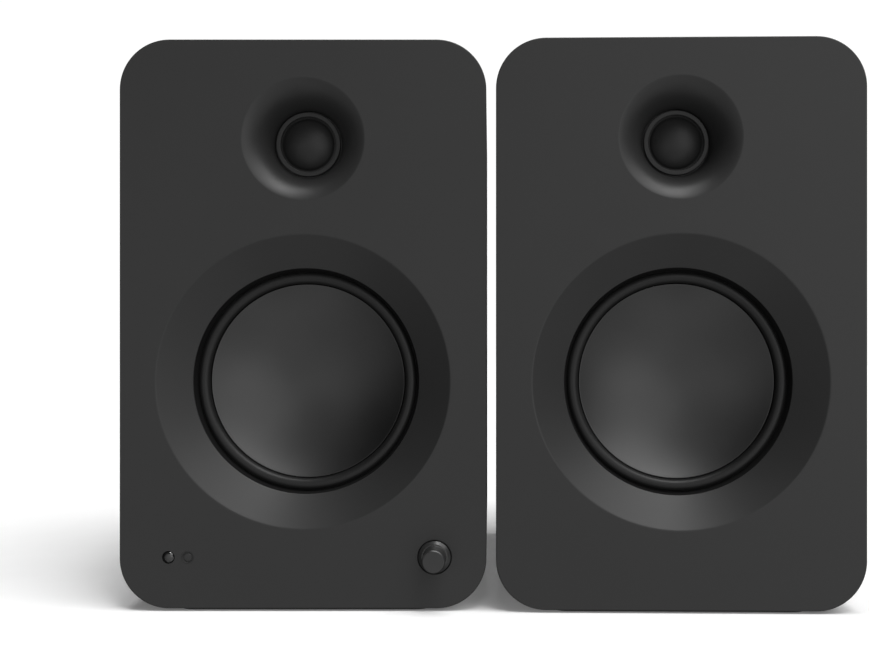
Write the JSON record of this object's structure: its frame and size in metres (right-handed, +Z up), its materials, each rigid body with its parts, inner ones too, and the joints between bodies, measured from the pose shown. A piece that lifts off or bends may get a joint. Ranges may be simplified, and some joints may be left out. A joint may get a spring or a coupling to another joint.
{
  "type": "desktop speakers",
  "caption": "Pair of powered two-way desktop speakers with rounded charcoal cabinets, a horn-loaded dome tweeter over a countersunk concave woofer, and a volume knob.",
  "frame": {"origin": "centre of the pair's bounding box in X and Y, on the surface that the speakers stand on", "axes": "+Z up, fronts facing -Y, +X towards the passive speaker, which is the right one as seen from the front"},
  "size_m": [0.3574, 0.2546, 0.2713],
  "materials": {
    "baffle": "matte charcoal moulding with a very fine grain",
    "cabinet_wrap": "fibreboard under a charcoal vinyl wrap with a fine grain",
    "rubber": "satin black rubber",
    "cone": "satin dark anodised, very fine spun grain",
    "plated_steel": "zinc plated",
    "copper": "enamelled copper winding",
    "treated_cloth": "resin-treated woven cloth",
    "ferrite": "ground black ferrite",
    "dark_trim": "satin charcoal",
    "dome_cloth": "fine coated weave, soft sheen",
    "brass": "gold plated",
    "black_plastic": "fine moulded texture",
    "red_plastic": "glossy red",
    "gloss_black": "smooth gloss",
    "knob": "satin charcoal",
    "smoked_lens": "smoked glossy lens",
    "painted_plate": "fine-textured black powder coat",
    "circuit_board": "green solder mask"
  },
  "bodies": {
    "active_speaker": {"active_base_pad": "rubber", "active_cabinet": "cabinet_wrap", "active_front_baffle": "baffle", "active_rear_panel": "cabinet_wrap", "active_port_tube": "black_plastic", "active_woofer_surround": "rubber", "active_woofer_basket": "plated_steel", "active_woofer_spider": "treated_cloth", "active_woofer_top_plate": "plated_steel", "active_woofer_magnet": "ferrite", "active_woofer_yoke": "plated_steel", "active_tweeter_ring": "dark_trim", "active_tweeter_motor": "ferrite", "active_post_black": "brass", "active_post_red": "brass", "encoder_body": "plated_steel", "status_window": "smoked_lens", "sensor_window": "smoked_lens", "amplifier_plate": "painted_plate", "mains_inlet": "black_plastic", "switch_housing": "black_plastic", "audio_jack_block": "black_plastic", "data_socket": "plated_steel", "amplifier_board": "circuit_board", "transformer": "copper"},
    "knob_plunger": {"encoder_plunger": "black_plastic"},
    "volume_knob": {"volume_knob": "knob", "encoder_shaft": "plated_steel"},
    "power_rocker": {"power_rocker": "gloss_black"},
    "passive_speaker": {"passive_base_pad": "rubber", "passive_cabinet": "cabinet_wrap", "passive_front_baffle": "baffle", "passive_rear_panel": "cabinet_wrap", "passive_port_tube": "black_plastic", "passive_woofer_surround": "rubber", "passive_woofer_basket": "plated_steel", "passive_woofer_spider": "treated_cloth", "passive_woofer_top_plate": "plated_steel", "passive_woofer_magnet": "ferrite", "passive_woofer_yoke": "plated_steel", "passive_tweeter_ring": "dark_trim", "passive_tweeter_motor": "ferrite", "passive_post_black": "brass", "passive_post_red": "brass", "terminal_cup": "black_plastic", "crossover_board": "circuit_board"},
    "active_woofer_moving": {"active_woofer_cone": "cone", "active_woofer_voice_coil": "copper"},
    "active_tweeter_moving": {"active_tweeter_dome": "dome_cloth"},
    "active_washer_black": {"active_washer_black": "brass"},
    "active_nut_black": {"active_nut_black": "black_plastic"},
    "active_washer_red": {"active_washer_red": "brass"},
    "active_nut_red": {"active_nut_red": "red_plastic"},
    "passive_woofer_moving": {"passive_woofer_cone": "cone", "passive_woofer_voice_coil": "copper"},
    "passive_tweeter_moving": {"passive_tweeter_dome": "dome_cloth"},
    "passive_washer_black": {"passive_washer_black": "brass"},
    "passive_nut_black": {"passive_nut_black": "black_plastic"},
    "passive_washer_red": {"passive_washer_red": "brass"},
    "passive_nut_red": {"passive_nut_red": "red_plastic"}
  },
  "joints": [
    {"name": "passive_placement", "type": "slide", "parent": "active_speaker", "child": "passive_speaker", "axis": [1, 0, 0], "range_m": [0, 0.5]},
    {"name": "volume_push", "type": "slide", "parent": "active_speaker", "child": "knob_plunger", "axis": [0, 1, 0], "range_m": [0, 0.0005], "stiffness_N_per_m": 2000},
    {"name": "volume_turn", "type": "hinge", "parent": "knob_plunger", "child": "volume_knob", "pos_m": [-0.02935, -0.1148, 0.0256], "axis": [0, 1, 0], "continuous": true},
    {"name": "power_rock", "type": "hinge", "parent": "active_speaker", "child": "power_rocker", "pos_m": [-0.12575, 0.1108, 0.036], "axis": [-1, 0, 0], "range_deg": [0, 16]},
    {"name": "active_woofer_travel", "type": "slide", "parent": "active_speaker", "child": "active_woofer_moving", "axis": [0, 1, 0], "range_m": [-0.004, 0.004], "stiffness_N_per_m": 1000, "deforming": ["active_woofer_surround", "active_woofer_spider"]},
    {"name": "active_tweeter_travel", "type": "slide", "parent": "active_speaker", "child": "active_tweeter_moving", "axis": [0, 1, 0], "range_m": [-0.0003, 0.0003], "stiffness_N_per_m": 200},
    {"name": "passive_woofer_travel", "type": "slide", "parent": "passive_speaker", "child": "passive_woofer_moving", "axis": [0.0222, 0.9998, 0], "range_m": [-0.004, 0.004], "stiffness_N_per_m": 1000, "deforming": ["passive_woofer_surround", "passive_woofer_spider"]},
    {"name": "passive_tweeter_travel", "type": "slide", "parent": "passive_speaker", "child": "passive_tweeter_moving", "axis": [0.0222, 0.9998, 0], "range_m": [-0.0003, 0.0003], "stiffness_N_per_m": 200},
    {"name": "active_black_washer_slide", "type": "slide", "parent": "active_speaker", "child": "active_washer_black", "axis": [0, 1, 0], "range_m": [0, 0.003]},
    {"name": "active_black_nut_turn", "type": "hinge", "parent": "active_washer_black", "child": "active_nut_black", "pos_m": [-0.13525, -0.1148, 0.126], "axis": [0, 1, 0], "range_deg": [0, 1545]},
    {"name": "active_red_washer_slide", "type": "slide", "parent": "active_speaker", "child": "active_washer_red", "axis": [0, 1, 0], "range_m": [0, 0.003]},
    {"name": "active_red_nut_turn", "type": "hinge", "parent": "active_washer_red", "child": "active_nut_red", "pos_m": [-0.11625, -0.1148, 0.126], "axis": [0, 1, 0], "range_deg": [0, 1545]},
    {"name": "passive_black_washer_slide", "type": "slide", "parent": "passive_speaker", "child": "passive_washer_black", "axis": [0.0222, 0.9998, 0], "range_m": [0, 0.003]},
    {"name": "passive_black_nut_turn", "type": "hinge", "parent": "passive_washer_black", "child": "passive_nut_black", "pos_m": [0.07726, -0.11949, 0.092], "axis": [0.0222, 0.9998, 0], "range_deg": [0, 1545]},
    {"name": "passive_red_washer_slide", "type": "slide", "parent": "passive_speaker", "child": "passive_washer_red", "axis": [0.0222, 0.9998, 0], "range_m": [0, 0.003]},
    {"name": "passive_red_nut_turn", "type": "hinge", "parent": "passive_washer_red", "child": "passive_nut_red", "pos_m": [0.09625, -0.11991, 0.092], "axis": [0.0222, 0.9998, 0], "range_deg": [0, 1545]}
  ],
  "couplings": [
    {"joint": "active_black_nut_turn", "follows": "active_black_washer_slide", "rad_per_m": 8976},
    {"joint": "active_red_nut_turn", "follows": "active_red_washer_slide", "rad_per_m": 8976},
    {"joint": "passive_black_nut_turn", "follows": "passive_black_washer_slide", "rad_per_m": 8976},
    {"joint": "passive_red_nut_turn", "follows": "passive_red_washer_slide", "rad_per_m": 8976}
  ]
}
